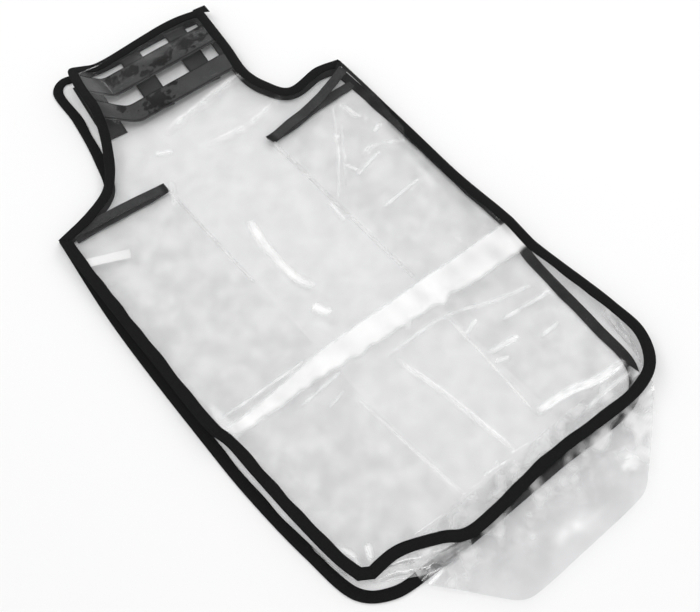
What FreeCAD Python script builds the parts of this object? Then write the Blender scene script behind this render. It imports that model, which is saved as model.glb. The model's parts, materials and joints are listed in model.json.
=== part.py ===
"""Clear suitcase cover with taped edges, lying folded flat.

The frame: X across the cover, +Y towards the two neck flaps at its mouth, +Z up.
The origin is on the surface the cover lies on, under the middle of its outer box.
"""
import FreeCAD, Part
import os
from FreeCAD import Vector

# Driving dimensions, in millimetres
WIDTH = 370.0            # a panel, over its edge tape
LENGTH = 494.0           # a panel, from the shoulder line to the far edge
CORNER_R = 50.0          # the panel's two far corners
NECK_LENGTH = 178.0      # the shoulder line to a neck flap's free edge
NECK_HALF = 93.0         # half a neck flap's width
NECK_CORNER_R = 15.0     # the neck flap's two free corners
FLARE_R = 52.0           # wheel cut-out between the neck and the shoulder
NECK_LEAN = 18.0         # how far the laid neck's free edge has swung towards +X
GUSSET_HALF = 122.0      # half the gusset's width, seam allowance included
FAR_TUCK = 26.0          # how far the far gusset tucks in before it turns outward
FILM = 0.5               # film thickness
TAPE = 11.0              # width of the folded edge tape
TAPE_PLY = 0.6           # one ply of the edge tape
STACK = 13.0             # the folded cover, underside to top of the edge tape
HOOK = 25.0              # width of a hook strip
LOOP = 30.0              # width of a loop strip
STRIP_THICK = 1.8
HOOK_CENTRES = (-74.5, -13.0, 48.0, 88.0)   # hook strips across the back neck
HOOK_END = 73.0          # the hook strips' lower ends, above the shoulder line
LOOP_CENTRES = (87.0, 133.0)                # loop strips above the shoulder line
LABEL = (50.0, 10.0, 0.3)
LABEL_TILT = -23.0       # degrees
LABEL_DROP = 42.0        # the label's sewn end, below the shoulder line
TAIL = 6.0               # the edge tape's loose end at one front neck corner
THREAD = (0.5, 0.2)      # seam thread, width and height above the tape
THREAD_MARGIN = 2.0      # the seam, in from the tape's inner edge

# Gaps and levels that follow from the way the pieces move
FOLD_GAP = 0.4           # each side of a fold line
SIDE_LEVEL = 2.6         # a side gusset leaf, above its panel's outer face
INNER_LEVEL = 2.1        # the far gusset's short leaf, above its panel's outer face
OUTER_LEVEL = 3.8        # the far gusset's long leaf, above its panel's outer face
FACE_FILM = TAPE_PLY     # a panel's film, above its outer face

# Sizes worked out from the driving dimensions
FLARE_X = NECK_HALF + FLARE_R
FLAP_OUT = GUSSET_HALF - 2 * FAR_TUCK
NECK_TOP = NECK_LENGTH + NECK_LEAN / NECK_LENGTH * (NECK_HALF - NECK_CORNER_R)
SHOULDER_Y = (LENGTH + FLAP_OUT - NECK_TOP) / 2
FAR_Y = SHOULDER_Y - LENGTH
TAPE_THICK = 2 * TAPE_PLY + FILM
SEAM_X = WIDTH / 2 - TAPE
SEAM_Y = FAR_Y + TAPE
FOLD_X = WIDTH / 2 - GUSSET_HALF
TUCK_Y = FAR_Y + FAR_TUCK
TIP_Y = FAR_Y - FLAP_OUT
STRAIGHT_X = WIDTH / 2 - CORNER_R


def lean(x, y):
    """A point at y above the shoulder line, swung clockwise with the neck if it is on the neck."""
    share = max(y, 0.0) / NECK_LENGTH
    return Vector(x + NECK_LEAN * share, SHOULDER_Y + y - NECK_LEAN / NECK_LENGTH * x * share, 0)


def line(a, b):
    return Part.LineSegment(a, b).toShape()


def arc(a, middle, b):
    return Part.Arc(a, middle, b).toShape()


def quarter(cx, cy, r, start, end):
    """A quarter round about (cx, cy), between two unit directions."""
    mid = 0.5 ** 0.5
    mx, my = (start[0] + end[0]) * mid, (start[1] + end[1]) * mid
    return arc(lean(cx + r * start[0], cy + r * start[1]), lean(cx + r * mx, cy + r * my),
               lean(cx + r * end[0], cy + r * end[1]))


def panel_edges():
    """The outer outline of a panel and its neck flap, round the way from the flap's free edge."""
    half, r, n = WIDTH / 2, CORNER_R, NECK_CORNER_R
    right, left, up, down = (1, 0), (-1, 0), (0, 1), (0, -1)
    curves = [
        quarter(NECK_HALF - n, NECK_LENGTH - n, n, up, right),
        quarter(FLARE_X, FLARE_R, FLARE_R, left, down),
        quarter(half - r, r - LENGTH, r, right, down),
        quarter(r - half, r - LENGTH, r, down, left),
        quarter(-FLARE_X, FLARE_R, FLARE_R, down, right),
        quarter(n - NECK_HALF, NECK_LENGTH - n, n, left, up),
    ]
    corners = {1: lean(half, 0), 3: lean(-half, 0)}      # shoulder corners, after these curves
    edges = []
    for i, curve in enumerate(curves):
        following = curves[(i + 1) % len(curves)]
        stops = [curve.Vertexes[1].Point, following.Vertexes[0].Point]
        if i in corners:
            stops.insert(1, corners[i])
        edges.append(curve)
        edges += [line(a, b) for a, b in zip(stops, stops[1:])]
    return edges


def panel_slab(inset, low, high):
    """The panel-and-neck outline, moved inwards by inset, between two levels."""
    face = Part.Face(Part.Wire(panel_edges()))
    if inset:
        face = face.makeOffset2D(-inset)
    face.translate(Vector(0, 0, low))
    return face.extrude(Vector(0, 0, high - low))


def block(x0, x1, y0, y1, z0, z1):
    return Part.makeBox(x1 - x0, y1 - y0, z1 - z0, Vector(x0, y0, z0))


def prism(corners, low, height):
    """A straight-sided slab over the polygon through these corners."""
    slab = Part.Face(Part.makePolygon(corners + corners[:1])).extrude(Vector(0, 0, height))
    slab.translate(Vector(0, 0, low))
    return slab


def half_space(side):
    """Everything on the panel's side (-1) or on the flap's side (+1) of the shoulder fold."""
    edge = SHOULDER_Y + side * FOLD_GAP
    far = edge + side * 2 * LENGTH
    return block(-WIDTH, WIDTH, min(edge, far), max(edge, far), -LENGTH, LENGTH)


def over(shape):
    """The same shape for the front of the cover: turned over about the middle of the stack."""
    return shape.mirror(Vector(0, 0, STACK / 2), Vector(0, 0, 1))


def panel_film():
    return panel_slab(TAPE_PLY, FACE_FILM, FACE_FILM + FILM)


def panel_tape():
    """Edge tape: two plies and the fold between them, round the film's edge."""
    ring = panel_slab(0, 0, TAPE_THICK).cut(panel_slab(TAPE, -1, TAPE_THICK + 1))
    return ring.cut(panel_film())


def seam_thread(low, high):
    outer = TAPE - THREAD_MARGIN - THREAD[0]
    return panel_slab(outer, low, high).cut(panel_slab(outer + THREAD[0], low - 1, high + 1))


def tape_tail():
    """The loose end of the tape, past the corner of the front neck flap."""
    x0, x1 = NECK_HALF - NECK_CORNER_R, NECK_HALF + TAIL
    low, top = NECK_LENGTH - TAPE, NECK_LENGTH
    ends = ((x0, low), (x1, low), (x1, top), (x0, top))
    return prism([lean(x, y) for x, y in ends], STACK - TAPE_THICK, TAPE_THICK)


def inner_neck(low, high):
    """The clear film of a neck flap, inside its tape."""
    return panel_slab(TAPE + FOLD_GAP, low, high).common(half_space(1))


def hook_strip(centre):
    """A hook strip along the back neck flap, on its inner face."""
    low = FACE_FILM + FILM
    left, right = centre - HOOK / 2, centre + HOOK / 2
    ends = ((left, HOOK_END), (right, HOOK_END), (right, NECK_LENGTH), (left, NECK_LENGTH))
    strip = prism([lean(x, y) for x, y in ends], low, STRIP_THICK)
    return strip.common(inner_neck(low - 1, low + STRIP_THICK + 1))


def loop_strip(centre):
    """A loop strip across the front neck flap, on its inner face."""
    high = STACK - FACE_FILM - FILM
    low, top = centre - LOOP / 2, centre + LOOP / 2
    ends = ((-NECK_HALF, low), (NECK_HALF, low), (NECK_HALF, top), (-NECK_HALF, top))
    strip = prism([lean(x, y) for x, y in ends], high - STRIP_THICK, STRIP_THICK)
    return strip.common(inner_neck(high - STRIP_THICK - 1, high + 1))


def side_leaf(side):
    """The lower leaf of a side gusset: from the seam in to the fold, without its end tape."""
    xs = sorted((side * (SEAM_X - FOLD_GAP), side * (FOLD_X + FOLD_GAP)))
    top = SHOULDER_Y - TAPE_PLY - FOLD_GAP
    low = SIDE_LEVEL + FACE_FILM
    return block(xs[0], xs[1], FAR_Y + CORNER_R, top, low, low + FILM)


def side_end_tape(side):
    """The tape folded over the side gusset leaf's end at the cover's mouth."""
    xs = sorted((side * (SEAM_X - FOLD_GAP), side * (FOLD_X + FOLD_GAP)))
    top = SHOULDER_Y - FOLD_GAP
    tape = block(xs[0], xs[1], top - TAPE, top, SIDE_LEVEL, SIDE_LEVEL + TAPE_THICK)
    return tape.cut(side_leaf(side))


def far_inner_leaf():
    """The far gusset's short leaf: from the seam in to the tuck."""
    low = INNER_LEVEL
    return block(-STRAIGHT_X, STRAIGHT_X, SEAM_Y + FOLD_GAP, TUCK_Y - FOLD_GAP, low, low + FILM)


def far_outer_leaf():
    """The far gusset's long leaf: from the tuck out past the panels, narrowing to its tip."""
    inner, tip = TUCK_Y - FOLD_GAP, TIP_Y + FOLD_GAP
    right = [(STRAIGHT_X, inner), (STRAIGHT_X, FAR_Y), (STRAIGHT_X - (FAR_Y - tip), tip)]
    points = right + [(-x, y) for x, y in reversed(right)]
    return prism([Vector(x, y, 0) for x, y in points], OUTER_LEVEL, FILM)


def size_label():
    """The small sewn label, its left end under the front panel's left tape."""
    length, width, thick = LABEL
    label = block(0, length, -width / 2, width / 2, 0, thick)
    label.rotate(Vector(0, 0, 0), Vector(0, 0, 1), LABEL_TILT)
    label.translate(Vector(TAPE / 2 - WIDTH / 2, SHOULDER_Y - LABEL_DROP, STACK - TAPE_THICK - thick))
    return label


def make_parts():
    parts = {}
    film, tape, thread = panel_film(), panel_tape(), seam_thread(TAPE_THICK, TAPE_THICK + THREAD[1])
    front_thread = seam_thread(STACK, STACK + THREAD[1])
    for name, side in (("panel", -1), ("flap", 1)):
        region = half_space(side)
        for face, turn in (("back", lambda shape: shape), ("front", over)):
            parts[f"{face}_{name}_film"] = turn(film.common(region))
            parts[f"{face}_{name}_tape"] = turn(tape.common(region))
        parts[f"back_{name}_thread"] = thread.common(region)
        parts[f"front_{name}_thread"] = front_thread.common(region)
    tail = tape_tail().cut(over(film))
    parts["front_flap_tape"] = parts["front_flap_tape"].fuse(tail).removeSplitter()

    for i, centre in enumerate(HOOK_CENTRES):
        parts[f"hook_strip_{i + 1}"] = hook_strip(centre)
    for i, centre in enumerate(LOOP_CENTRES):
        parts[f"loop_strip_{i + 1}"] = loop_strip(centre)

    for name, side in (("left", -1), ("right", 1)):
        parts[f"gusset_{name}_lower_film"] = side_leaf(side)
        parts[f"gusset_{name}_lower_tape"] = side_end_tape(side)
        parts[f"gusset_{name}_upper_film"] = over(side_leaf(side))
        parts[f"gusset_{name}_upper_tape"] = over(side_end_tape(side))
    parts["gusset_far_lower_inner"] = far_inner_leaf()
    parts["gusset_far_lower_outer"] = far_outer_leaf()
    parts["gusset_far_upper_inner"] = over(far_inner_leaf())
    parts["gusset_far_upper_outer"] = over(far_outer_leaf())
    parts["size_label"] = size_label()
    return parts


os.makedirs("parts", exist_ok=True)
for node, shape in make_parts().items():
    shape.exportStep(f"parts/{node}.step")
    box = shape.BoundBox
    print(f"{node:24s} solids {len(shape.Solids)} valid {shape.isValid()} volume {shape.Volume:8.0f}"
          f" x {box.XMin:.1f} {box.XMax:.1f} y {box.YMin:.1f} {box.YMax:.1f}"
          f" z {box.ZMin:.2f} {box.ZMax:.2f}")
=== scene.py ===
"""Clear film suitcase cover with black taped edges, lying folded flat on a white surface.

Shapes are worked out in millimetres: x across the cover, s along it from the shoulder line (positive on
the neck, negative down to the far end), z up. put() turns them into metres in the row frame.
"""
import json
import math
import bpy
import numpy as np
from mathutils import Matrix, Vector


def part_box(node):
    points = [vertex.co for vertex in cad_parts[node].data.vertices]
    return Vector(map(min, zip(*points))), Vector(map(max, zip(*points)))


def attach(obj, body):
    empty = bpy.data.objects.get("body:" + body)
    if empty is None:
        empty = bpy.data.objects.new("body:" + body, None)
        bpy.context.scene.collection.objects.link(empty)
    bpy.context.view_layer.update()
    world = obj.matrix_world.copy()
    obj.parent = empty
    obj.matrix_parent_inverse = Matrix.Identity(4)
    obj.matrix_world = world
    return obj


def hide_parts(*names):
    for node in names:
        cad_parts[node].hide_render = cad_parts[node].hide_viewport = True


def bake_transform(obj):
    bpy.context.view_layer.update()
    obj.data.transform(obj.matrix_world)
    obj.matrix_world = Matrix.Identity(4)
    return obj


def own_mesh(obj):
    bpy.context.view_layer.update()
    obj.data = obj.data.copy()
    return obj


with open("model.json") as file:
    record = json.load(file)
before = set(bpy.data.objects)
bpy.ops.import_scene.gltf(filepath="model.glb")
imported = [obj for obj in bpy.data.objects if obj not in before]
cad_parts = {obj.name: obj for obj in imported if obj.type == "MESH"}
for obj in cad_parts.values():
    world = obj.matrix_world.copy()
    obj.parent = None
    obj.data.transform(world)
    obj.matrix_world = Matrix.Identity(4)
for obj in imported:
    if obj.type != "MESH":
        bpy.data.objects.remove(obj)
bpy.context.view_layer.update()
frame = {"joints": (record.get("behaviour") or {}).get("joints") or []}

MM = 0.001
JOINTS = {joint["name"]: joint for joint in frame["joints"]}
SHOULDER_Y = JOINTS["front_flap_fold"]["pos_m"][1] / MM
SEAM_X = JOINTS["right_seam"]["pos_m"][0] / MM
FOLD_LEVEL = JOINTS["left_fold"]["pos_m"][2] / MM
TAPE = 11.0              # width of the folded edge tape
STITCH_IN = 2.2          # the seam, in from the tape's inner edge
STEP = 2.5               # spacing of the points along an edge
BEND = 7.0               # half the length over which a panel bends into its neck flap
SEAM_OFFSETS = (0.72, -0.85)     # height of the seam's two rows over and under the middle of the tape


def middle_z(node):
    """Height of the middle of a CAD node."""
    low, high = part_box(node)
    return (low[2] + high[2]) / 2 / MM


THREAD_ROOM = 0.25       # extra height of the back panel, so that its lower stitches clear the surface
BACK_LEVEL = middle_z("back_panel_film") + THREAD_ROOM
FRONT_LEVEL = middle_z("front_panel_film")
LOWER_LEAF = middle_z("gusset_left_lower_film")
UPPER_LEAF = middle_z("gusset_left_upper_film")


# Numbers and curves

def rise(v, a, b):
    """0 up to a, 1 from b, smooth in between; b may be below a."""
    t = np.clip((v - a) / (b - a), 0, 1)
    return t * t * (3 - 2 * t)


def bump(v, middle, half):
    """A smooth hump, 1 at the middle and 0 from half on each side."""
    return rise(np.abs(v - middle), half, 0)


def waves(x, s, length, seed, count=16):
    """Even, seeded unevenness of about -1 to 1, with features about length apart."""
    rng = np.random.default_rng(seed)
    total = 0.0
    for _ in range(count):
        turn, phase = rng.uniform(0, 2 * math.pi, 2)
        pitch = length * rng.uniform(0.75, 1.6)
        total = total + np.cos((x * math.cos(turn) + s * math.sin(turn)) * 2 * math.pi / pitch + phase)
    return total / math.sqrt(count)


def travelled(p):
    """How far along a line each of its points is."""
    return np.concatenate([[0], np.cumsum(np.linalg.norm(np.diff(p, axis=0), axis=1))])


def limits_at(a, b, rows):
    """The smallest and largest x at which the lines from points a to points b cross each row."""
    limits = []
    for s in rows:
        hit = (a[:, 1] - s) * (b[:, 1] - s) <= 0
        hit &= np.abs(a[:, 1] - b[:, 1]) > 1e-9
        t = (s - a[hit, 1]) / (b[hit, 1] - a[hit, 1])
        x = a[hit, 0] + t * (b[hit, 0] - a[hit, 0])
        limits.append((x.min(), x.max()))
    return np.array(limits)


def between(limits, rows, columns):
    """A grid of points that fills each row from one limit to the other."""
    x = limits[:, :1] + (limits[:, 1:] - limits[:, :1]) * np.linspace(0, 1, columns)
    return x, np.repeat(rows[:, None], columns, axis=1)


def smooth_run(points, step=STEP):
    """Evenly spaced points on a smooth curve through these points."""
    p = np.array(points, float)
    if len(p) > 2:
        ends = np.vstack([2 * p[0] - p[1], p, 2 * p[-1] - p[-2]])
        knots = np.concatenate([[0], np.cumsum(np.linalg.norm(np.diff(ends, axis=0), axis=1) ** 0.5)])
        fine = []
        for i in range(1, len(ends) - 2):
            t0, t1, t2, t3 = knots[i - 1:i + 3]
            t = np.linspace(t1, t2, 24, endpoint=False)[:, None]
            a1 = ((t1 - t) * ends[i - 1] + (t - t0) * ends[i]) / (t1 - t0)
            a2 = ((t2 - t) * ends[i] + (t - t1) * ends[i + 1]) / (t2 - t1)
            a3 = ((t3 - t) * ends[i + 1] + (t - t2) * ends[i + 2]) / (t3 - t2)
            b1 = ((t2 - t) * a1 + (t - t0) * a2) / (t2 - t0)
            b2 = ((t3 - t) * a2 + (t - t1) * a3) / (t3 - t1)
            fine.append(((t2 - t) * b1 + (t - t1) * b2) / (t2 - t1))
        p = np.vstack(fine + [p[-1:]])
    far = travelled(p)
    at = np.linspace(0, far[-1], max(2, int(round(far[-1] / step)) + 1))
    return np.column_stack([np.interp(at, far, p[:, k]) for k in range(p.shape[1])])


class Edge:
    """A closed outline made of smooth runs that meet at sharp corners, with the panel on its right.

    turned gives, at each point, the angle by which the margin hangs down from the outline.
    """

    def __init__(self, runs, turned=None):
        self.runs = [smooth_run(run) for run in runs]
        self.frames, self.hang = [], []
        for run in self.runs:
            tangent = np.gradient(run, axis=0)
            self.frames.append(tangent / np.linalg.norm(tangent, axis=1)[:, None])
            self.hang.append(turned(run) if turned else np.zeros(len(run)))
        self.halves = []
        for i, tangent in enumerate(self.frames):
            following = self.frames[(i + 1) % len(self.frames)][0]
            turn = math.acos(max(-1.0, min(1.0, float(tangent[-1] @ following))))
            self.halves.append(math.tan((math.pi - turn) / 2))

    def place(self, depth, out=0.0):
        """Points this deep in the margin and this far out from its face, mitred at the corners.

        Returns the points, their height above the outline, and how far along each one is.
        """
        found, drops, along, start = [], [], [], 0.0
        for i, (run, tangent, hang) in enumerate(zip(self.runs, self.frames, self.hang)):
            gone = travelled(run)
            inward = np.column_stack([tangent[:, 1], -tangent[:, 0]])
            level = depth * np.cos(hang) + out * np.sin(hang)
            before = np.maximum(level / self.halves[i - 1] - gone, 0)
            after = np.maximum(level / self.halves[i] - (gone[-1] - gone), 0)
            moved = run + inward * level[:, None] + tangent * (before - after)[:, None]
            found.append(moved[:-1])
            drops.append((out * np.cos(hang) - depth * np.sin(hang))[:-1])
            along.append(start + gone[:-1])
            start += gone[-1]
        return np.vstack(found), np.concatenate(drops), np.concatenate(along)

    def spans(self, depth, rows):
        """The panel's left and right limits at this depth, for each row."""
        line = self.place(depth)[0]
        return limits_at(line, np.roll(line, -1, axis=0), rows)


# Where the cover lies. An outline runs clockwise seen from above, and each run ends at a sharp corner.
#
# The levels of the panels and side leaves, the seams and the tuck come from the frame. The outlines,
# creases, side folds, far gusset, corner film and strips follow the photograph: places were read off
# it, put through the fitted camera, then rounded and thinned. Other heights are typed.

def right_shoulder_turn(run):
    """How far the front panel's right margin hangs down near the shoulder."""
    return math.radians(106) * rise(run[:, 0], 160, 172) * rise(run[:, 1], -142, -45) * (run[:, 1] < -3)


FRONT_EDGE = Edge([
    [(-188, -6), (-149, 4), (-119, 19), (-95, 55), (-76, 101), (-68, 156), (-60, 177), (-44, 177),
     (-30, 172), (70, 172), (109, 163)],
    [(109, 163), (99, 92), (92, 48), (98, 22), (110, 1), (150, 4), (177, -3)],
    [(177, -3), (174, -117), (170, -224), (170, -315), (178, -415), (177, -455), (160, -484),
     (130, -497), (20, -494), (-84, -497), (-104, -485), (-138, -471), (-167, -471)],
    [(-167, -471), (-179, -463)],
    [(-179, -463), (-184, -440), (-188, -390), (-190, -330), (-191, -294), (-195, -278), (-194, -180),
     (-191, -57), (-188, -6)],
], turned=right_shoulder_turn)
BACK_EDGE = Edge([
    [(-187, 0), (-150, 5), (-119, 21), (-104, 63), (-92, 125), (-86, 177), (-70, 188), (-48, 182),
     (-28, 176), (50, 174), (109, 166)],
    [(109, 166), (99, 92), (93, 48), (99, 22), (113, 3), (150, 5), (178, -2)],
    [(178, -2), (178, -117), (175, -222), (174, -290), (164, -325), (156, -420), (149, -474),
     (122, -499), (20, -500), (-120, -498), (-164, -492), (-189, -472), (-199, -415), (-204, -340),
     (-204, -285), (-199, -118), (-187, 0)],
])

CREASE_LEFT, CREASE_RIGHT = (-178.0, -272.0), (175.0, -286.0)     # the packing crease across the front


def crease_s(x):
    """Where the packing crease crosses, at this x."""
    share = (x - CREASE_LEFT[0]) / (CREASE_RIGHT[0] - CREASE_LEFT[0])
    return CREASE_LEFT[1] + share * (CREASE_RIGHT[1] - CREASE_LEFT[1])


FLAP_KINK = -36.0        # where the front neck flap starts to turn up


def lift(x, s):
    """How far the left margin of the front neck flap is turned up."""
    return 9.5 * rise(x, FLAP_KINK, FLAP_KINK - 34) * rise(s, 30, 120)


def stroke(x, s, points, width, height):
    """A soft ridge along a line of points, tapered at its ends."""
    line = smooth_run(points, 3.0)
    a, d = line[:-1], np.diff(line, axis=0)
    near, share = np.full(x.shape, 1e9), np.zeros(x.shape)
    low, high = line.min(0) - 4 * width, line.max(0) + 4 * width
    inside = (x > low[0]) & (x < high[0]) & (s > low[1]) & (s < high[1])
    px, ps = x[inside], s[inside]
    best, where = np.full(px.shape, 1e9), np.zeros(px.shape)
    for i in range(len(a)):
        t = ((px - a[i, 0]) * d[i, 0] + (ps - a[i, 1]) * d[i, 1]) / (d[i] @ d[i])
        t = np.clip(t, 0, 1)
        gap = np.hypot(px - a[i, 0] - t * d[i, 0], ps - a[i, 1] - t * d[i, 1])
        closer = gap < best
        best[closer], where[closer] = gap[closer], ((i + t) / len(a))[closer]
    near[inside], share[inside] = best, where
    taper = np.clip(np.minimum(share, 1 - share) * 6, 0, 1) ** 0.5
    return height * taper * np.exp(-((near / width) ** 2))


# Creases and streaks pressed into the front film: points, half width, ridge height and whiteness. The
# whiteness is partly stress-whitened film and partly a painted highlight for the glints on the ridges.
CREASES = [
    ([(-28, -112), (-35, -150), (-34, -200), (-28, -218)], 3.8, 1.0, 0.95),
    ([(-43, -234), (-36, -252)], 4.0, 0.9, 0.85),
    ([(90, 50), (35, 46), (-30, 36)], 4.5, 0.7, 0.3),
    ([(95, -5), (50, -12), (-5, -6)], 4.0, 0.6, 0.25),
    ([(-52, 20), (-36, 10)], 2.0, 0.7, 0.5),
    ([(138, -55), (140, -82)], 3.2, 0.9, 0.45),
    ([(100, -92), (110, -86)], 2.2, 0.5, 0.6),
    ([(140, -108), (154, -103)], 2.0, 0.5, 0.6),
    ([(90, -121), (95, -136)], 2.0, 0.5, 0.5),
    ([(90, -141), (112, -135), (128, -131)], 2.0, 0.5, 0.45),
    ([(108, -127), (125, -121), (157, -137)], 2.2, 0.7, 0.35),
    ([(46, -146), (44, -175)], 2.0, 0.5, 0.5),
    ([(85, -189), (135, -185)], 1.8, 0.5, 0.65),
    ([(134, -44), (108, -85), (56, -152)], 1.3, 0.4, 0.25),
    ([(123, -74), (94, -114), (72, -144)], 1.3, 0.4, 0.25),
    ([(-60, -20), (-75, -48)], 3.0, 0.8, 0.3),
    ([(-116, -308), (-66, -304)], 1.5, 0.4, 0.5),
    ([(-98, -326), (-76, -321)], 1.3, 0.3, 0.4),
    ([(-23, -320), (44, -323), (95, -342), (132, -352)], 1.7, 0.7, 0.5),
    ([(-19, -326), (-8, -390), (0, -466)], 2.4, 0.6, 0.5),
    ([(46, -325), (44, -380), (40, -448)], 1.3, 0.4, 0.4),
    ([(-73, -332), (-60, -468)], 1.3, 0.4, 0.35),
    ([(9, -312), (17, -303)], 3.0, 0.5, 0.4),
    ([(46, -350), (66, -345)], 2.0, 0.5, 0.55),
    ([(48, -378), (82, -384)], 2.6, 0.8, 0.65),
    ([(47, -389), (62, -394)], 2.0, 0.5, 0.55),
    ([(84, -361), (140, -368)], 1.7, 0.6, 0.6),
    ([(98, -398), (122, -397)], 1.7, 0.5, 0.5),
    ([(40, -450), (75, -453), (105, -462), (138, -465)], 3.4, 0.9, 1.0),
    ([(74, -477), (104, -475), (136, -477)], 2.0, 0.7, 0.6),
    ([(-36, -464), (-17, -462)], 1.6, 0.4, 0.45),
    ([(-173, -430), (-167, -446), (-171, -459)], 2.0, 0.6, 0.55),
    ([(-152, -444), (-158, -457)], 2.0, 0.6, 0.55),
    # A painted highlight with no ridge: the thin light line along the packing crease's crest.
    ([CREASE_LEFT, (-85, -275.7)], 1.2, 0.0, 0.8),
]


def crease_band(x, s):
    """How far below the packing crease its slope starts and ends; its level ledge fades rightward."""
    ragged = 0.7 * waves(x, s * 0.4, 30, 11) + 0.3 * waves(x, s * 0.4, 11, 12)
    return 10 * rise(x, -50, -170), 23 + 9 * rise(x, -100, 140) + ragged


def front_z(x, s):
    """The front film: a packing crease with a ledge, pressed streaks and a turned-up neck margin."""
    d = crease_s(x) - s
    ledge, wide = crease_band(x, s)
    slope = 0.25 - 0.03 * rise(x, -150, 150)
    soft = 1.2
    fall = slope * soft * (np.logaddexp(0, (wide - d) / soft) - np.logaddexp(0, (ledge - d) / soft))
    crest = slope * soft * (np.logaddexp(0, wide / soft) - np.logaddexp(0, ledge / soft))
    climb = crest * rise(d, -110, 0) ** 1.5
    side = rise(x, -186, -172) * rise(x, 182, 170)
    ridge = np.where(d > 0, fall, climb) * (0.65 + 0.35 * side)
    inner = rise(x, -180, -150) * rise(x, 172, 145) * rise(s, -492, -465) * rise(s, 168, 140)
    slack = 0.28 * waves(x, s, 75, 3) + 0.07 * waves(x, s, 22, 4)
    crinkly = rise(x, 40, 75) * (bump(s, -95, 75) + 0.5 * bump(s, -400, 90))
    slack = slack + crinkly * (0.22 * waves(x, s, 26, 5) + 0.05 * waves(x, s, 12, 6))
    creases = sum(stroke(x, s, points, width, height)
                  for points, width, height, white in CREASES if height)
    return FRONT_LEVEL + ridge + lift(x, s) + inner * (slack + creases)


def front_white_and_highlight(x, s):
    """How far the front film is whitened, 0 to 1: partly stress whitening and partly painted highlight
    on its creases, and a painted highlight band below the packing crease.
    """
    patchy = np.clip(0.8 + 0.3 * waves(x, s, 18, 8), 0.3, 1.2)
    marks = [stroke(x, s, points, width, white) * patchy for points, width, height, white in CREASES]
    # The band below the packing crease, where its slope catches the light, is a painted highlight.
    d = crease_s(x) - s
    ledge, wide = crease_band(x, s)
    ledge, wide = ledge + 0.4 * waves(x, s * 0.3, 9, 13), wide + 1.3 * waves(x, s * 0.3, 17, 14)
    sides = rise(x, -186, -176) * rise(x, 178, 168)
    band = rise(d, ledge - 1, ledge + 2) * rise(d, wide + 2, wide - 5) * sides
    marks.append(band * (0.72 + 0.16 * waves(x, s * 0.5, 26, 15)))
    return np.clip(np.maximum.reduce(marks), 0, 0.95)


def back_z(x, s):
    """The back film: nearly level, with slow waves away from its seams."""
    return BACK_LEVEL + 0.3 * (1 + waves(x, s, 60, 21)) * rise(x, -185, -150) * rise(x, 165, 130)


# Meshes

def show(name, data):
    """An object with this data, in the scene."""
    made = bpy.data.objects.new(name, data)
    bpy.context.scene.collection.objects.link(made)
    return made


def put(name, x, s, z, faces, material, uv=None):
    """A mesh object from millimetre coordinates."""
    mesh = bpy.data.meshes.new(name)
    co = np.column_stack([np.ravel(x), np.ravel(s) + SHOULDER_Y, np.ravel(z)]) * MM
    mesh.from_pydata(co.tolist(), [], [list(map(int, face)) for face in faces])
    mesh.polygons.foreach_set("use_smooth", [True] * len(mesh.polygons))
    if uv is not None:
        layer = mesh.uv_layers.new(name="along")
        at = np.zeros(len(mesh.loops), np.int32)
        mesh.loops.foreach_get("vertex_index", at)
        layer.data.foreach_set("uv", np.asarray(uv, np.float32)[at].ravel())
    mesh.materials.append(material)
    return show(name, mesh)


def corners_of(index):
    """The four corners of each cell in a grid of point numbers, in turn round the cell."""
    return (index[:-1, :-1].ravel(), index[:-1, 1:].ravel(),
            index[1:, 1:].ravel(), index[1:, :-1].ravel())


def grid_faces(rows, columns):
    """Quads between the points of a grid, facing up when rows go down the sheet."""
    a, b, c, d = corners_of(np.arange(rows * columns).reshape(rows, columns))
    return np.column_stack([d, c, b, a])


def mark(made, name, values):
    """A number for each point of a mesh, for its material to read."""
    layer = made.data.attributes.new(name, "FLOAT", "POINT")
    layer.data.foreach_set("value", np.ravel(values).astype(np.float32))


def panel_film(name, edge, height, highlight_and_whitening, material, cell):
    """A panel and its neck flap in one sheet of film, its edge inside the tape."""
    line = edge.place(TAPE / 2)[0]
    top, bottom = line[:, 1].max() - 0.3, line[:, 1].min() + 0.3
    rows = np.concatenate([np.arange(top, BEND + 1, -cell), np.arange(BEND + 1, -BEND - 1, -1.2),
                           np.arange(-BEND - 1, bottom, -cell), [bottom]])
    x, s = between(edge.spans(TAPE / 2, rows), rows, int(370 / cell))
    sheet = put(name, x, s, height(x, s), grid_faces(*x.shape), material)
    # Whiteness for the film's material, partly a painted highlight.
    if highlight_and_whitening:
        mark(sheet, "painted_highlight_and_whitening", highlight_and_whitening(x, s))
    return sheet


# The upper half of the tape's section: depth in from the edge, and height
TAPE_SECTION = [(11.0, 0.35), (10.7, 0.75), (9.6, 0.86), (8.8, 0.72), (8.0, 0.88), (5.0, 0.95),
                (2.0, 0.9), (0.7, 0.75), (0.15, 0.4), (0.0, 0.0)]


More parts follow.
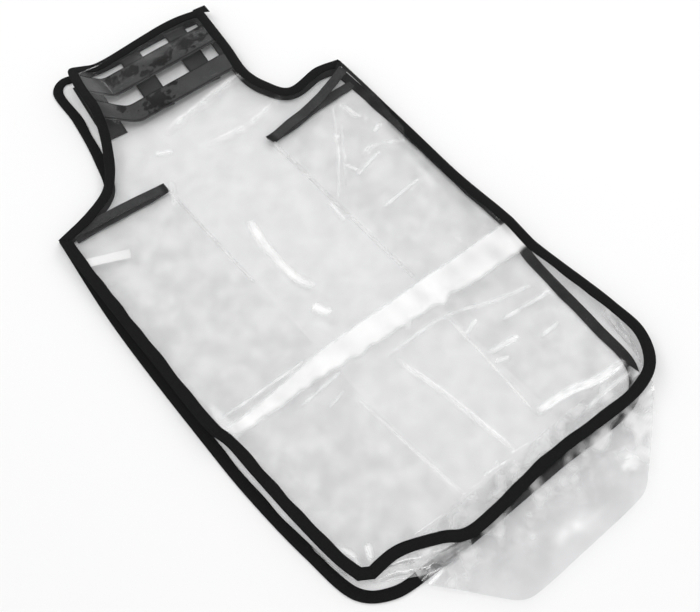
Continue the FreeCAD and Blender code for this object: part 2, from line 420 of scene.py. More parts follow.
def edge_tape(name, edge, height, material, seed):
    """Tape folded over the edge: a closed sleeve with a crown, a sunk seam and slight puckers."""
    section = TAPE_SECTION + [(n, -z) for n, z in reversed(TAPE_SECTION[:-1])]
    rings = []
    along = edge.place(0)[2]
    pucker = 0.10 * waves(along, 0 * along, 9, seed + 1)
    wander = 0.35 * waves(along, 0 * along, 38, seed)
    for n, z in section:
        points, drop, _ = edge.place(n, z)
        wobble = wander * (n / TAPE)
        ahead = np.roll(points, -1, axis=0) - np.roll(points, 1, axis=0)
        ahead /= np.linalg.norm(ahead, axis=1)[:, None] + 1e-9
        points = points + np.column_stack([ahead[:, 1], -ahead[:, 0]]) * wobble[:, None]
        rings.append(np.column_stack([points, height(points[:, 0], points[:, 1]) + drop + z * pucker]))
    rings = np.stack(rings, axis=1)
    count, sides = rings.shape[:2]
    index = np.arange(count * sides).reshape(count, sides)
    index = np.concatenate([index, index[:1]])
    index = np.column_stack([index, index[:, 0]])
    faces = np.column_stack(corners_of(index))
    u = np.repeat(along[:, None], sides, axis=1) * 0.1
    v = np.repeat(travelled(np.array(section))[None], count, axis=0) * 0.1
    return put(name, rings[..., 0], rings[..., 1], rings[..., 2], faces, material,
               uv=np.column_stack([u.ravel(), v.ravel()]))


def stitch_row(name, lines, material, pitch=3.4, length=2.5, width=0.55, high=0.3):
    """Stitches along lines of points: small spindles lying on the surface."""
    centres, aims = [], []
    for line in lines:
        far = travelled(line)
        at = np.arange(pitch / 2, far[-1] - pitch / 2, pitch)
        spot = np.column_stack([np.interp(at, far, line[:, k]) for k in range(3)])
        ahead = np.column_stack([np.interp(at + 1, far, line[:, k]) for k in range(3)]) - spot
        centres.append(spot)
        aims.append(ahead / (np.linalg.norm(ahead, axis=1)[:, None] + 1e-9))
    centre, aim = np.vstack(centres), np.vstack(aims)
    across = np.column_stack([-aim[:, 1], aim[:, 0], 0 * aim[:, 0]])
    across /= np.linalg.norm(across, axis=1)[:, None]
    up = np.array([0, 0, 1.0])
    shape = [(-0.5, 0.35, 0.3), (-0.2, 1, 1), (0.2, 1, 1), (0.5, 0.35, 0.3)]
    corners = [(-1, 0), (-0.6, 0.8), (0.6, 0.8), (1, 0), (0, -0.6)]
    points = [centre + aim * length * a + across * width / 2 * w * i + up * high * h * k
              for a, w, h in shape for i, k in corners]
    points = np.stack(points, axis=1)
    walls = []
    rings, sides = len(shape), len(corners)
    for r in range(rings - 1):
        for k in range(sides):
            a, b = r * sides + k, r * sides + (k + 1) % sides
            walls.append((a, b, b + sides, a + sides))
    caps = [list(range(sides))[::-1], [(rings - 1) * sides + k for k in range(sides)]]
    every = [[f + i * rings * sides for f in face] for faces in (walls, caps)
             for i in range(len(centre)) for face in faces]
    return put(name, points[..., 0], points[..., 1], points[..., 2], every, material)


def seam_lines(edge, height):
    """The seam's two rows, on the tape's upper and lower faces."""
    rows = []
    for offset in SEAM_OFFSETS:
        points, drop, _ = edge.place(TAPE - STITCH_IN, offset)
        points, drop = np.vstack([points, points[:1]]), np.append(drop, drop[0])
        rows.append(np.column_stack([points, height(points[:, 0], points[:, 1]) + drop]))
    return rows


# Materials

def set_inputs(shader, values):
    for name, value in values.items():
        shader.inputs[name].default_value = value


def added(nodes, kind, values=None):
    """A new shader node with these input values."""
    made = nodes.new("ShaderNode" + kind)
    set_inputs(made, values or {})
    return made


def nodes_of(name):
    material = bpy.data.materials.new(name)
    material.use_nodes = True
    tree = material.node_tree
    return material, tree.nodes, tree.links, tree.nodes["Principled BSDF"]


def mixed_shader(nodes, links, share, first, second):
    mix = added(nodes, "MixShader")
    links.new(share, mix.inputs["Fac"])
    links.new(first, mix.inputs[1])
    links.new(second, mix.inputs[2])
    return mix.outputs[0]


def film_material(name, tint, gloss, haze, roughness, grazing=0.9):
    """Clear film: tinted where light goes through, mirror-like by angle, with a trace of milkiness, and
    milky white where a point's whiteness mark paints a highlight.
    """
    material, nodes, links, shine = nodes_of(name)
    set_inputs(shine, {"Base Color": (1, 1, 1, 1), "Metallic": 1.0, "Roughness": roughness})
    clear = added(nodes, "BsdfTransparent")
    facing = added(nodes, "LayerWeight", {"Blend": 0.5})
    power = added(nodes, "Math", {1: 5.0})
    power.operation = "POWER"
    links.new(facing.outputs["Facing"], power.inputs[0])
    share = added(nodes, "MapRange", {"To Min": gloss, "To Max": grazing})
    links.new(power.outputs[0], share.inputs["Value"])
    glossy = mixed_shader(nodes, links, share.outputs[0], clear.outputs[0], shine.outputs[0])
    spots = added(nodes, "TexCoord")
    cloud = added(nodes, "TexNoise", {"Scale": 55.0, "Detail": 4.0})
    links.new(spots.outputs["Object"], cloud.inputs["Vector"])
    depth = added(nodes, "MapRange", {"From Min": 0.38, "From Max": 0.62})
    links.new(cloud.outputs["Fac"], depth.inputs["Value"])
    mottled = added(nodes, "Mix")
    mottled.data_type = "RGBA"
    set_inputs(mottled, {6: (*[c * 0.98 for c in tint], 1), 7: (*[min(1, c * 1.02) for c in tint], 1)})
    links.new(depth.outputs[0], mottled.inputs["Factor"])
    links.new(mottled.outputs[2], clear.inputs["Color"])
    dents = added(nodes, "Bump", {"Strength": 0.025, "Distance": 0.002})
    links.new(cloud.outputs["Fac"], dents.inputs["Height"])
    links.new(dents.outputs["Normal"], shine.inputs["Normal"])
    milk = added(nodes, "BsdfPrincipled", {"Base Color": (0.95, 0.95, 0.95, 1), "Roughness": 0.7})
    amount = added(nodes, "MapRange", {"From Min": 0.35, "From Max": 0.7,
                                       "To Min": haze * 0.4, "To Max": haze * 1.6})
    links.new(cloud.outputs["Fac"], amount.inputs["Value"])
    # Whiteness from the mesh, partly painted highlight, mixes in the milky white.
    highlight_and_whitening_node = added(nodes, "Attribute")
    highlight_and_whitening_node.attribute_name = "painted_highlight_and_whitening"
    most = added(nodes, "Math")
    most.operation = "MAXIMUM"
    links.new(amount.outputs[0], most.inputs[0])
    links.new(highlight_and_whitening_node.outputs["Fac"], most.inputs[1])
    hazy = mixed_shader(nodes, links, most.outputs[0], glossy, milk.outputs[0])
    links.new(hazy, nodes["Material Output"].inputs["Surface"])
    return material


def fabric_material(name, dark, light, ribs, noise_scale, bumpiness, sheen):
    """Woven or napped fabric: fine ribs along the tape, uneven dye and a few lighter fibres."""
    material, nodes, links, cloth = nodes_of(name)
    set_inputs(cloth, {"Roughness": 0.9, "Specular IOR Level": 0.12, "Sheen Weight": sheen})
    spots = added(nodes, "TexCoord")
    cloud = added(nodes, "TexNoise", {"Scale": noise_scale, "Detail": 6.0})
    links.new(spots.outputs["Object"], cloud.inputs["Vector"])
    colour = added(nodes, "ValToRGB")
    for stop, position, shade in zip(colour.color_ramp.elements, (0.3, 0.8), (dark, light)):
        stop.position = position
        stop.color = (*shade, 1)
    links.new(cloud.outputs["Fac"], colour.inputs["Fac"])
    links.new(colour.outputs["Color"], cloth.inputs["Base Color"])
    height = cloud.outputs["Fac"]
    if ribs:
        weave = added(nodes, "TexWave", {"Scale": ribs, "Distortion": 0.6, "Detail": 2.0})
        links.new(spots.outputs["UV"], weave.inputs["Vector"])
        height = weave.outputs["Fac"]
    dents = added(nodes, "Bump", {"Strength": bumpiness, "Distance": 0.0003})
    links.new(height, dents.inputs["Height"])
    links.new(dents.outputs["Normal"], cloth.inputs["Normal"])
    return material


# Films: tint, mirror share face on, haze, roughness, and mirror share at a grazing angle
PANEL_FILM = film_material("clear_panel_film", (0.970, 0.970, 0.972), 0.08, 0.010, 0.14)
BACK_FILM = film_material("clear_back_film", (0.985, 0.985, 0.987), 0.03, 0.006, 0.16, 0.3)
GUSSET_FILM = film_material("clear_gusset_film", (1.0, 1.0, 1.0), 0.010, 0.001, 0.12, 0.08)
# The fold film's strong haze is a painted highlight: the light caught along the gusset folds.
FOLD_HIGHLIGHT_FILM = film_material("fold_highlight_film", (0.98, 0.98, 0.98), 0.04, 0.24, 0.2, 0.2)
FLAP_FILM = film_material("clear_flap_film", (0.955, 0.955, 0.958), 0.08, 0.012, 0.14, 0.5)
PLEAT_FILM = film_material("pleated_film", (0.97, 0.97, 0.972), 0.22, 0.28, 0.10)
# Fabrics: dark and light colour, ribs, noise scale, bumpiness and sheen
TAPE_CLOTH = fabric_material("grosgrain_tape", (0.005, 0.005, 0.0052), (0.012, 0.012, 0.0125),
                             3.5, 900, 0.5, 0.02)
THREAD_CLOTH = fabric_material("black_thread", (0.004, 0.004, 0.0042), (0.010, 0.010, 0.0105),
                               0, 1500, 0.3, 0.01)
STRIP_CLOTH = fabric_material("pile_strip", (0.036, 0.036, 0.0365), (0.070, 0.070, 0.071),
                              0, 700, 0.6, 0.05)
HOOK_CLOTH = fabric_material("hook_strip", (0.024, 0.024, 0.0245), (0.05, 0.05, 0.051),
                             0, 1100, 0.8, 0.05)
END_CLOTH = fabric_material("gusset_end_tape", (0.026, 0.026, 0.0265), (0.055, 0.055, 0.056),
                            0, 500, 0.4, 0.03)


# The panels

def build_panel(side, edge, height, highlight_and_whitening, film, cell, seed):
    """A panel with its neck flap: film, edge tape and seam thread, bending at the shoulder."""
    sheet = panel_film(side + "_film", edge, height, highlight_and_whitening, film, cell)
    tape = edge_tape(side + "_tape", edge, height, TAPE_CLOTH, seed)
    thread = stitch_row(side + "_thread", seam_lines(edge, height), THREAD_CLOTH)
    for piece, kind in ((sheet, "film"), (tape, "tape"), (thread, "thread")):
        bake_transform(piece)
        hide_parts(f"{side}_panel_{kind}", f"{side}_flap_{kind}")


build_panel("back", BACK_EDGE, back_z, None, BACK_FILM, 4.0, 31)
build_panel("front", FRONT_EDGE, front_z, front_white_and_highlight, PANEL_FILM, 1.6, 41)


# The gussets

TUCK_S = JOINTS["far_lower_tuck"]["pos_m"][1] / MM - SHOULDER_Y     # the far gusset turns outward here
FAR_SEAM_S = JOINTS["far_lower_seam"]["pos_m"][1] / MM - SHOULDER_Y
LEAF_FOOT = TUCK_S       # far end of a side gusset leaf
LEAF_ROWS = 190          # rows of points in a side gusset leaf
PINCH = 0.45             # half the thickness of a pressed fold
SEAM_BEND = 31.0         # width of the range from a cut toward its seam that is handed to end_tape
SEAM_INSET = 3.5         # a leaf's seam edge is this far inside the tape
SEAM_ENDS = (-489.0, -14.0)      # a leaf's seam edge follows the panel between these
END_TAPE_X = 172.0       # how far out a gusset's end tape runs


class Side:
    """One side gusset.

    fold is x of its fold at the mouth and at the foot, and a mouth is s at the fold and at the seam. A
    cut is the x where the strip that bends at that seam starts. The upper mouth bows by bow, and the
    fold gets a painted highlight, a whiter film, for s above the limit given last.
    """

    def __init__(self, name, sign, fold, upper_mouth, lower_mouth, upper_cut, lower_cut, bow, fold_highlight_to):
        self.name, self.sign, self.fold_line = name, sign, fold
        self.bow, self.fold_highlight_to = bow, fold_highlight_to
        self.upper_mouth, self.lower_mouth = upper_mouth, lower_mouth
        self.upper_cut, self.lower_cut = upper_cut, lower_cut

    def fold(self, s):
        top, foot = self.fold_line
        return top + (foot - top) * np.clip(s / LEAF_FOOT, 0, 1)

    def seam(self, s, upper):
        """The leaf's seam edge, a little inside the tape."""
        edge = FRONT_EDGE if upper else BACK_EDGE
        limits = edge.spans(TAPE - SEAM_INSET, np.clip(np.ravel(s), *SEAM_ENDS))
        return limits[:, 0 if self.sign < 0 else 1]

    def height(self, x, s, seam, upper):
        """From the panel's tape at the seam, along the leaf's own level, to the pinched fold."""
        reach = np.abs(x - seam)
        level = UPPER_LEAF if upper else LOWER_LEAF
        start = front_z(seam, s) - 0.3 if upper else BACK_LEVEL + 0.2 + 0 * s
        pinched = FOLD_LEVEL + (PINCH if upper else -PINCH)
        near_fold = rise(np.abs(x - self.fold(s)), 42, 0)
        z = start + (level - start) * rise(reach, 3, 26)
        z = z + (pinched - z) * near_fold ** 1.6
        slow, fine = (51, 53) if upper else (52, 54)     # seeds
        uneven = 0.35 * waves(x, s, 55, slow) + 0.12 * waves(x, s, 17, fine)
        return z + uneven * rise(reach, 6, 30) * rise(np.abs(x - self.fold(s)), 4, 26)

    def leaf(self, upper, near, far, columns):
        """Points of a leaf between two lines across it: near and far give x for each s."""
        mouth = self.upper_mouth if upper else self.lower_mouth
        down = np.linspace(0, 1, LEAF_ROWS)[:, None]
        across = np.linspace(0, 1, columns)[None]
        s = np.repeat(down * LEAF_FOOT, columns, axis=1)
        for _ in range(2):
            a, b = near(s[:, 0])[:, None], far(s[:, 0])[:, None]
            x = a + (b - a) * across
            share = np.clip((x - self.fold(s)) / (self.seam_mean() - self.fold(s)), 0, 1)
            top = mouth[0] + (mouth[1] - mouth[0]) * share + self.bowed(share, upper)
            s = top + (LEAF_FOOT - top) * down
        seam = self.seam(s[:, 0], upper)[:, None] + 0 * x
        return x, s, self.height(x, s, seam, upper)

    def bowed(self, share, upper):
        """How far the upper leaf's mouth end bows out towards the neck."""
        return self.bow * 4 * share * (1 - share) * upper

    def seam_mean(self):
        return self.sign * SEAM_X


LEFT = Side("left", -1, fold=(-66.0, -66.0), upper_mouth=(-13.0, -3.0), lower_mouth=(-14.0, -4.0),
            upper_cut=-150.0, lower_cut=-150.0, bow=0.0, fold_highlight_to=-165.0)
RIGHT = Side("right", 1, fold=(52.0, 54.0), upper_mouth=(-34.0, -12.0), lower_mouth=(-35.0, -27.0),
             upper_cut=None, lower_cut=118.0, bow=-6.0, fold_highlight_to=-265.0)


def join_rows(parts):
    """Grids of points set side by side."""
    return [np.concatenate([part[k] for part in parts], axis=1) for k in range(3)]


def seam_strip(name, leaf):
    """The part of a gusset leaf that bends at its seam."""
    strip = put(name, *leaf, grid_faces(*leaf[0].shape), GUSSET_FILM)
    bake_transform(strip)


def side_gusset(side):
    """The folded sheet between its seam strips, and a strip that bends at each seam that can turn."""
    body = "gusset_" + side.name

    def seam(upper):
        return lambda s: side.seam(s, upper)

    def cut(x):
        return lambda s: x + 0 * s

    low_end = cut(side.lower_cut)
    high_end = seam(True) if side.upper_cut is None else cut(side.upper_cut)
    lower = side.leaf(False, low_end, side.fold, 34)
    upper = side.leaf(True, side.fold, high_end, 34)
    turn = np.linspace(-90, 90, 7)[1:-1] * math.pi / 180
    x_fold, s_fold = side.fold(lower[1][:, -1])[:, None], lower[1][:, -1:]
    bend = (x_fold - side.sign * PINCH * np.cos(turn)[None], s_fold + 0 * turn[None],
            FOLD_LEVEL + PINCH * np.sin(turn)[None] + 0 * x_fold)
    x, s, z = join_rows([lower, bend, upper])
    sheet = put(f"gusset_{side.name}_film", x, s, z, grid_faces(*x.shape), GUSSET_FILM)
    # Faces along the fold, for s above the limit, take the fold film: a painted highlight on the fold
    # line.
    sheet.data.materials.append(FOLD_HIGHLIGHT_FILM)
    first, last = lower[0].shape[1] - 2, lower[0].shape[1] + len(turn)
    across = np.arange(x.shape[1] - 1)[None]
    white = (across >= first) & (across <= last) & (s[:-1, :1] > side.fold_highlight_to)
    sheet.data.polygons.foreach_set("material_index", white.ravel().astype(np.int32))
    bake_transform(sheet)
    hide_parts(body + "_lower_film", body + "_upper_film")
    lower_bend = dict(start=((side.lower_cut + side.sign * SEAM_BEND) * MM, 0, 0),
                      end=(side.lower_cut * MM, 0, 0))
    seam_strip(body + "_back_strip", side.leaf(False, seam(False), low_end, 22))
    upper_bend = None
    if side.upper_cut is not None:
        upper_bend = dict(start=(side.upper_cut * MM, 0, 0),
                          end=((side.upper_cut + side.sign * SEAM_BEND) * MM, 0, 0))
        seam_strip(body + "_front_strip", side.leaf(True, high_end, seam(True), 18))
    end_tape(side, False, lower_bend)
    end_tape(side, True, upper_bend)


# The section of the tape over a gusset's end: depth in from the end, and height
END_SECTION = [(-0.6, 0.0), (-0.3, 0.5), (1.0, 0.62), (6.0, 0.68), (10.2, 0.62), (10.9, 0.3),
               (10.9, -0.3), (10.2, -0.6), (6.0, -0.65), (1.0, -0.6), (-0.3, -0.5)]


def end_tape(side, upper, bend):
    """Tape folded over a side gusset leaf's end at the mouth."""
    level = "upper" if upper else "lower"
    body = f"gusset_{side.name}_{level}"
    mouth = side.upper_mouth if upper else side.lower_mouth
    inner, outer = side.fold(np.array([mouth[0]]))[0], side.sign * END_TAPE_X
    along = np.linspace(0, 1, 60)[:, None]
    depth, thick = np.array(END_SECTION).T[:, None]
    x = inner + (outer - inner) * along + 0 * depth
    aim = (mouth[1] - mouth[0]) / (outer - inner)
    s = mouth[0] + (mouth[1] - mouth[0]) * along + side.bowed(along, upper) - depth
    s = s + 0.5 * waves(x, 0 * x, 40, 61 + 2 * upper)
    x = x + depth * aim * 0.8
    seam = np.repeat(side.seam(s[:, 3], upper)[:, None], x.shape[1], axis=1)
    z = side.height(x, s, seam, upper) + thick
    count, sides = x.shape
    index = np.arange(count * sides).reshape(count, sides)
    index = np.column_stack([index, index[:, 0]])
    a, b, c, d = corners_of(index)
    faces = np.column_stack([a, d, c, b]).tolist()
    faces += [list(range(sides)), list(range((count - 1) * sides, count * sides))[::-1]]
    u = np.repeat(x[:, :1] * 0.1, sides, axis=1)
    uv = np.column_stack([u.ravel(), (depth * 0.1 + 0 * x).ravel()])
    tape = put(f"{body}_end_tape", x, s, z, faces, END_CLOTH, uv=uv)
    mark(tape, "cling", rise(along + 0 * depth, 0.075, 0.035))
    if bend is None:
        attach(tape, body)
    elif upper:
        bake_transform(tape)
    else:
        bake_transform(tape)
    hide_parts(body + "_tape")


FLAP_EDGE = [(-131, -462), (-135, -480), (-137, -497), (-118, -522), (-99, -546), (-86, -560),
             (-76, -564.5), (-11, -565), (43, -564.5), (61, -562), (78, -551), (128, -511),
             (144, -496), (142, -480), (138, -462)]
PANEL_END_S = -494       # where the far gusset comes out from under the front panel
FAR_INNER = {"lower": 2.6, "upper": 10.2}    # height of the short leaf at the tuck
FAR_OUTER = {"lower": 4.9, "upper": 7.9}     # height of the long leaf
TUCKED_ROWS = 14         # rows of the long leaf that keep the clearer film, under the panel


def far_gusset(level):
    """The far gusset's lower or upper half: a short leaf in to the tuck, a long one out to the tip."""
    upper = level == "upper"
    line = smooth_run(FLAP_EDGE, 2.0)
    tip = line[:, 1].min() + 0.05
    out_rows = np.concatenate([np.linspace(TUCK_S, PANEL_END_S, 16),
                               np.linspace(PANEL_END_S, -560, 34)[1:], np.linspace(-560, tip, 8)[1:]])
    limits = limits_at(line[:-1], line[1:], out_rows)
    x, s = between(limits, out_rows, 130)
    rim = np.minimum(np.minimum(x - limits[:, :1], limits[:, 1:] - x), s - tip)
    shut = rise(rim, 42, 0) * rise(s, PANEL_END_S, PANEL_END_S - 10)
    uneven = 0.5 * waves(x, s, 75, 71) + 0.22 * waves(x, s, 32, 73) + 0.07 * waves(x, s, 13, 75 + upper)
    z = FAR_OUTER[level] + uneven * rise(s, TUCK_S - 2, TUCK_S - 22) * (1 - shut)
    z = z + (FOLD_LEVEL + (0.12 if upper else -0.12) - z) * shut
    in_rows = np.linspace(FAR_SEAM_S, TUCK_S - 0.4, 8)[:, None]
    seam_z = front_z(x[:1], FAR_SEAM_S + 0 * x[:1]) - 0.7 if upper else 1.3 + 0 * x[:1]
    inner_z = FAR_INNER[level]
    x_in = x[:1] + 0 * in_rows
    z_in = seam_z + (inner_z - seam_z) * rise(in_rows, FAR_SEAM_S, FAR_SEAM_S + 8)
    turn = np.linspace(-90, 90, 6)[1:-1, None] * math.pi / 180
    sign = -1 if upper else 1
    x_turn = x[:1] + 0 * turn
    s_turn = TUCK_S + 0.5 * np.cos(turn) + 0 * x_turn
    z_turn = (inner_z + z[:1]) / 2 + sign * abs(z[:1] - inner_z) / 2 * np.sin(turn)
    xs = np.vstack([x_in, x_turn, x])
    ss = np.vstack([in_rows + 0 * x_in, s_turn, s])
    zs = np.vstack([z_in, z_turn, z])
    sheet = put(f"gusset_far_{level}_film", xs, ss, zs, grid_faces(*xs.shape), FLAP_FILM)
    if upper:
        # Painted highlight: milky white for the glints on the crinkles near the tape and the glare
        # across the flap's right side.
        crinkled = 0.12 + 0.22 * waves(xs, ss, 30, 77) + 0.13 * waves(xs, ss, 11, 78)
        near_tape = rise(ss, -555, -500) + 0.5 * rise(xs, 40, 110)
        patchy = 1 + 0.5 * waves(xs, ss, 20, 79)
        at_right = 0.3 * rise(xs, 55, 110) * patchy * rise(ss, FAR_SEAM_S, -500)
        mark(sheet, "painted_highlight_and_whitening", np.clip(crinkled * near_tape + at_right, 0, 0.6))
    sheet.data.materials.append(GUSSET_FILM)
    tucked = (len(in_rows) + len(turn) + TUCKED_ROWS) * (xs.shape[1] - 1)
    clearer = np.arange(len(sheet.data.polygons)) < tucked
    sheet.data.polygons.foreach_set("material_index", clearer.astype(np.int32))
    body = f"gusset_far_{level}"
    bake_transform(sheet)
    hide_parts(body + "_inner", body + "_outer")


# Spare film at the far corners: the lines where it leaves the back and front tapes, how many folds it
# has and how high they swell, and its width once it is pulled flat
PLEATS = {
    "far_left": dict(
        low=[(-189, -418), (-184, -444), (-171, -468), (-145, -485), (-122, -497), (-84, -501)],
        high=[(-189, -412), (-185, -446), (-176, -462), (-145, -464), (-128, -467), (-80, -490)],
        folds=2.6, swell=2.4, seed=101, flat_width=30.0),
    "far_right": dict(
        low=[(146, -494), (152, -480), (157, -462), (160, -440), (163, -415)],
        high=[(128, -488), (146, -478), (158, -462), (166, -440), (169, -415)],
        folds=1.6, swell=1.2, seed=111, flat_width=14.0),
}


def pleats(name, low, high, folds, swell, seed, flat_width):
    """Spare film at a rounded far corner, crumpled between the two panels' tapes."""
    columns, rows = 150, 54
    ends = [smooth_run(line, 1.0) for line in (low, high)]
    u, v = np.linspace(0, 1, columns)[None], np.linspace(0, 1, rows)[:, None]
    low_x, low_s, high_x, high_s = [np.interp(u, np.linspace(0, 1, len(end)), end[:, k])
                                    for end in ends for k in (0, 1)]
    drift = 0.5 * waves(u * 120, 0 * u, 70, seed) + 0.25 * waves(u * 120, 0 * u, 26, seed + 1)
    turn = 2 * math.pi * folds * v + 2.2 * drift
    free = np.sin(math.pi * v) ** 0.6 * np.sin(math.pi * u) ** 0.5
    back_and_forth = v + 0.09 * free * np.sin(turn + 1.2)
    x = low_x + (high_x - low_x) * back_and_forth
    s = low_s + (high_s - low_s) * back_and_forth
    cross = waves(u * 120 + 9 * v, 25 * v, 15, seed + 2)
    z = 2.3 + 8.2 * v + free * (swell * np.sin(turn) + 0.8 * cross)
    z = np.clip(z, 2.2, 13.0)
    piece = put(f"corner_film_{name}", x, s, z, grid_faces(rows, columns)[:, ::-1], PLEAT_FILM)
    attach(piece, "back")
    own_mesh(piece)


side_gusset(LEFT)
side_gusset(RIGHT)
for where, made in PLEATS.items():
    pleats(where, **made)
far_gusset("lower")
far_gusset("upper")


# Hook-and-loop strips and the label

NECK_TILT = 0.15         # how far the laid back flap's strips lean, x for each s
HOOK_WIDE = 25.0
HOOKS = [(-78.5, 76.0, HOOK_WIDE), (-16.5, 75.0, HOOK_WIDE), (44.0, 72.0, HOOK_WIDE),
         (84.0, 70.0, 15.0)]     # x at the shoulder line, foot and width; the last one is cut narrow
LOOPS = [(81.0, (-73, 90), 27.0), (131.0, (-66, 98), 31.0)]      # s at x 0, ends and width
STRIP_STITCH = (2.6, 2.3, 0.9)     # pitch, length and width of a stitch
STRIP_THICK = 1.7


def slab(name, x, s, z_low, z_high, material, fuzz, seed):
    """A thin closed strip over a grid of points, with softened edges and a rough upper face."""
    rows, columns = x.shape
    rim = np.minimum.outer(np.minimum(np.arange(rows), np.arange(rows)[::-1]),
                           np.minimum(np.arange(columns), np.arange(columns)[::-1]))
    round_off = np.clip(1 - rim / 1.5, 0, 1) * 0.45
    rng = np.random.default_rng(seed)
    top = z_high - round_off + fuzz * rng.uniform(-1, 1, x.shape) * (rim > 0)
    low = z_low + round_off * 0.3
    points = [np.concatenate([v.ravel(), w.ravel()]) for v, w in ((x, x), (s, s), (top, low))]
    upper = grid_faces(rows, columns)
    index = np.arange(rows * columns).reshape(rows, columns)
    lower = upper[:, ::-1] + rows * columns
    ring = np.concatenate([index[0, :-1], index[:-1, -1], index[-1, :0:-1], index[:0:-1, 0]])
    after = np.roll(ring, -1)
    wall = np.column_stack([ring, after, after + rows * columns, ring + rows * columns])
    return put(name, *points, np.vstack([upper, lower, wall]), material)


def strip_stitches(name, edges, body):
    rows = stitch_row(name, edges, THREAD_CLOTH, *STRIP_STITCH)
    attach(rows, body)


def hook_strips():
    """The hook strips along the back neck flap, each with two rows of stitches."""
    for i, (middle, foot, wide) in enumerate(HOOKS):
        down = np.linspace(165, foot, 62)[:, None]
        across = np.linspace(-HOOK_WIDE / 2, wide - HOOK_WIDE / 2, 18)[None]
        x = middle + NECK_TILT * down + across
        s = down - NECK_TILT * across + 0 * x
        base = back_z(x, s) + 0.1
        strip = slab(f"hook_strip_{i + 1}_tape", x, s, base, base + 1.75, HOOK_CLOTH, 0.12, 81 + i)
        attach(strip, "back_flap")
        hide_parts(f"hook_strip_{i + 1}")
        edges = [np.column_stack([x[:, k], s[:, k], base[:, k] + 1.72]) for k in (1, -2)]
        strip_stitches(f"hook_strip_{i + 1}_stitches", edges, "back_flap")


# Where the film clings to the loop strips and looks black: x, s, half length, half width
CLINGS = [(-8, 136, 12, 8), (28, 127, 13, 7), (64, 131, 13, 10), (44, 133, 8, 6), (90, 142, 6, 6),
          (-8, 81, 17, 12), (56, 144, 9, 4), (4, 123, 8, 5), (-30, 138, 7, 9), (-44, 96, 5, 6),
          (20, 90, 7, 3), (82, 126, 8, 5)]


def loop_strip(i, middle, ends, wide):
    """A loop strip under the front flap's film, bent up with the flap's left margin."""
    across = np.linspace(wide / 2, -wide / 2, 22)[:, None]
    along = np.linspace(ends[0], ends[1], 120)[None]
    margin = 0.72 * 2 * np.logaddexp(0, (-37 - along) / 2)
    x = along + 0.05 * across + 0.25 * margin * (across / wide + 0.5)
    s = middle - 0.04 * along + across + margin
    top = front_z(x, s) - 0.35
    strip = slab(f"loop_strip_{i + 1}_tape", x, s, top - STRIP_THICK, top, STRIP_CLOTH, 0.0, 91 + i)
    cling = np.zeros(x.shape)
    ragged = 0.3 * waves(x, s, 7, 95) + 0.15 * waves(x, s, 3.5, 96)
    for cx, cs, half_long, half_wide in CLINGS:
        reach = np.hypot((x - cx) / half_long, (s - cs) / half_wide) + ragged
        cling = np.maximum(cling, rise(reach, 1.1, 0.85))
    mark(strip, "cling", np.concatenate([cling.ravel(), cling.ravel()]))
    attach(strip, "front_flap")
    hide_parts(f"loop_strip_{i + 1}")
    edges = [np.column_stack([x[k], s[k], front_z(x[k], s[k]) + 0.1]) for k in (1, -2)]
    strip_stitches(f"loop_strip_{i + 1}_stitches", edges, "front_flap")


def tape_tail():
    """The loose end of the front flap's edge tape, standing out past its right corner."""
    along = np.linspace(0, 16, 12)[None]
    across = np.linspace(0, 1, 10)[:, None]
    x = 99.5 + along - 1.2 * across
    s = 167 - 0.05 * along - across * (6 + 0.4 * along)
    top = FRONT_LEVEL + 0.9 - 0.12 * along + 0 * across
    tail = slab("front_flap_tape_tail", x, s, top - 1.0, top, TAPE_CLOTH, 0.0, 97)
    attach(tail, "front_flap")


def darken_where_clinging(material):
    """Mixes the cloth's colour to black where film clings to it, by the cling attribute."""
    tree = material.node_tree
    nodes, links = tree.nodes, tree.links
    cloth = nodes["Principled BSDF"]
    base = cloth.inputs["Base Color"].links[0].from_socket
    cling = added(nodes, "Attribute")
    cling.attribute_name = "cling"
    mixed = added(nodes, "Mix")
    mixed.data_type = "RGBA"
    links.new(cling.outputs["Fac"], mixed.inputs["Factor"])
    links.new(base, mixed.inputs[6])
    mixed.inputs[7].default_value = (0.002, 0.002, 0.002, 1)
    links.new(mixed.outputs[2], cloth.inputs["Base Color"])


def label():
    """The woven label, its end sewn into the front panel's left seam."""
    length, wide, tilt = 47.0, 10.5, math.radians(-25)
    along = np.linspace(0, length, 40)[None]
    across = np.linspace(wide / 2, -wide / 2, 12)[:, None]
    x = -184 + along * math.cos(tilt) - across * math.sin(tilt)
    s = -46 + along * math.sin(tilt) + across * math.cos(tilt)
    curl = 0.5 * rise(along, length * 0.6, length) ** 2 + 0 * across
    top = front_z(x, s) - 0.5 - curl
    piece = slab("size_label_cloth", x, s, top - 0.3, top, LABEL_CLOTH, 0.0, 99)
    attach(piece, "front")
    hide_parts("size_label")


LABEL_CLOTH = fabric_material("label_cloth", (0.92, 0.92, 0.915), (0.97, 0.97, 0.965),
                              0, 2500, 0.2, 0.02)
darken_where_clinging(STRIP_CLOTH)
darken_where_clinging(END_CLOTH)
hook_strips()
for number, place in enumerate(LOOPS):
    loop_strip(number, *place)
tape_tail()
label()


# Stage: camera, light and floor

VIEW_TARGET = (-11.0, -250.0, 0.0)     # x, s and z, in millimetres
VIEW_DISTANCE = 1016.0
VIEW_AZIMUTH, VIEW_ELEVATION, VIEW_ROLL = 36.4, 59.5, 3.8     # degrees
LENS = 53.97


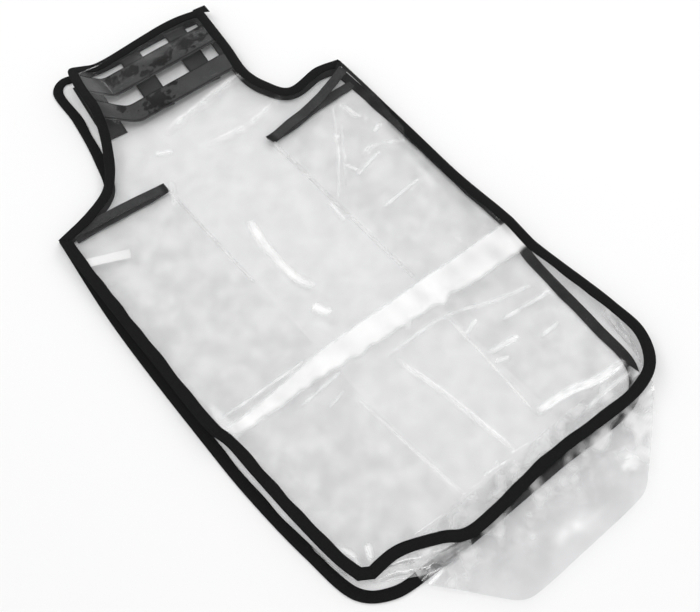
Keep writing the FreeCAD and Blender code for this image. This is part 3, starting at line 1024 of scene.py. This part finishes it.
def make_camera():
    data = bpy.data.cameras.new("camera")
    data.lens = LENS
    data.sensor_width = 36.0
    camera = show("camera", data)
    a, e = math.radians(VIEW_AZIMUTH), math.radians(VIEW_ELEVATION)
    ahead = Vector((math.sin(a) * math.cos(e), math.cos(a) * math.cos(e), -math.sin(e)))
    right = Vector((math.cos(a), -math.sin(a), 0))
    up = right.cross(ahead)
    roll = math.radians(VIEW_ROLL)
    across = right * math.cos(roll) - up * math.sin(roll)
    upward = up * math.cos(roll) + right * math.sin(roll)
    target = Vector((VIEW_TARGET[0], VIEW_TARGET[1] + SHOULDER_Y, VIEW_TARGET[2])) * MM
    place = target - ahead * VIEW_DISTANCE * MM
    turn = Matrix((across, upward, -ahead)).transposed().to_4x4()
    camera.matrix_world = Matrix.Translation(place) @ turn
    bpy.context.scene.camera = camera


def soft_light(name, place, size, aim, power):
    data = bpy.data.lights.new(name, "AREA")
    data.shape = "RECTANGLE"
    data.size, data.size_y = size
    data.energy = power
    light = show(name, data)
    light.location = place
    light.rotation_mode = "QUATERNION"
    light.rotation_quaternion = (Vector(place) - Vector(aim)).to_track_quat("Z", "Y")


def make_floor():
    material, nodes, links, white = nodes_of("white_floor")
    set_inputs(white, {"Base Color": (0.92, 0.92, 0.92, 1), "Roughness": 1.0,
                       "Specular IOR Level": 0.0})
    mesh = bpy.data.meshes.new("floor")
    reach = 6.0
    mesh.from_pydata([(-reach, -reach, 0), (reach, -reach, 0), (reach, reach, 0), (-reach, reach, 0)],
                     [], [(0, 1, 2, 3)])
    mesh.materials.append(material)
    floor = show("floor", mesh)


def make_world(bright, dark, towards, inner, outer):
    """An even pale room with a dark screen overhead, dark inside the inner angle about a direction."""
    world = bpy.data.worlds.new("studio")
    world.use_nodes = True
    nodes, links = world.node_tree.nodes, world.node_tree.links
    look = added(nodes, "TexCoord")
    along = added(nodes, "VectorMath")
    along.operation = "DOT_PRODUCT"
    along.inputs[1].default_value = Vector(towards).normalized()
    links.new(look.outputs["Generated"], along.inputs[0])
    level = added(nodes, "MapRange", {"From Min": math.cos(math.radians(outer)),
                                      "From Max": math.cos(math.radians(inner)),
                                      "To Min": bright, "To Max": dark})
    level.interpolation_type = "SMOOTHSTEP"
    links.new(along.outputs["Value"], level.inputs["Value"])
    background = nodes["Background"]
    background.inputs["Color"].default_value = (1, 1, 1, 1)
    links.new(level.outputs[0], background.inputs["Strength"])
    bpy.context.scene.world = world


make_camera()
make_floor()
make_world(0.80, 0.10, (0.30, 0.41, 0.86), 24, 44)
soft_light("overhead_strip", (1.0, -0.60, 3.0), (3.4, 0.5), (1.0, -0.60, 0), 24)
soft_light("left_window", (-0.8, 1.6, 3.0), (0.9, 3.6), (0, 0, 0), 26)
soft_light("right_window", (3.0, 1.2, 2.8), (2.0, 1.6), (0, 0, 0), 26)
soft_light("back_window", (0.8, 4.4, 2.8), (3.0, 1.2), (0, 0, 0), 26)
bpy.context.scene.view_settings.view_transform = "Standard"
bpy.context.scene.cycles.transparent_max_bounces = 48     # up to eight films lie over each other
